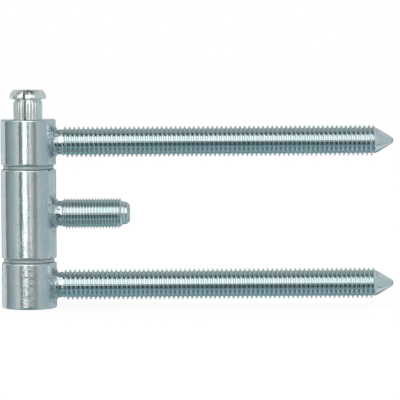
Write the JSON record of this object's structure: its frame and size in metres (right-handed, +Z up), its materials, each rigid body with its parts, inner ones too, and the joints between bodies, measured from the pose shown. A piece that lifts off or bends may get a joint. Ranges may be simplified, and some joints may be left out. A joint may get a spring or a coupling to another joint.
{
  "type": "steel frame door hinge",
  "caption": "Three-part drill-in door hinge: stacked round knuckles on a split knurled pin, with long pointed leaf studs and a short frame stud.",
  "frame": {"origin": "centre of the lower eye's flat end face, on the turning axis", "axes": "+Z up along the turning axis towards the pin's head, +X along the three studs away from the knuckles"},
  "size_m": [0.128, 0.018, 0.0711],
  "materials": {
    "zinc_plated_barrel": "bright blue-passivated zinc plate over turned steel",
    "zinc_plated_thread": "bright blue-passivated zinc plate over rolled thread",
    "zinc_plated_pin": "bright blue-passivated zinc plate over turned and knurled steel",
    "satin_zinc_washer": "satin zinc plate"
  },
  "bodies": {
    "frame_part": {"middle_barrel": "zinc_plated_barrel", "frame_stud": "zinc_plated_thread", "upper_bearing_washer": "satin_zinc_washer"},
    "upper_leaf": {"upper_eye": "zinc_plated_barrel", "upper_leaf_stud": "zinc_plated_thread"},
    "lower_leaf": {"lower_eye": "zinc_plated_barrel", "lower_leaf_stud": "zinc_plated_thread", "lower_bearing_washer": "satin_zinc_washer"},
    "pin": {"hinge_pin": "zinc_plated_pin"}
  },
  "joints": [
    {"name": "upper_leaf_swing", "type": "hinge", "parent": "frame_part", "child": "upper_leaf", "pos_m": [0, 0, 0.0541], "axis": [0, 0, 1], "continuous": true},
    {"name": "lower_leaf_swing", "type": "hinge", "parent": "frame_part", "child": "lower_leaf", "pos_m": [0, 0, 0.0075], "axis": [0, 0, 1], "continuous": true},
    {"name": "pin_slide", "type": "slide", "parent": "upper_leaf", "child": "pin", "axis": [0, 0, 1], "range_m": [-0.0066, 0.045]}
  ]
}
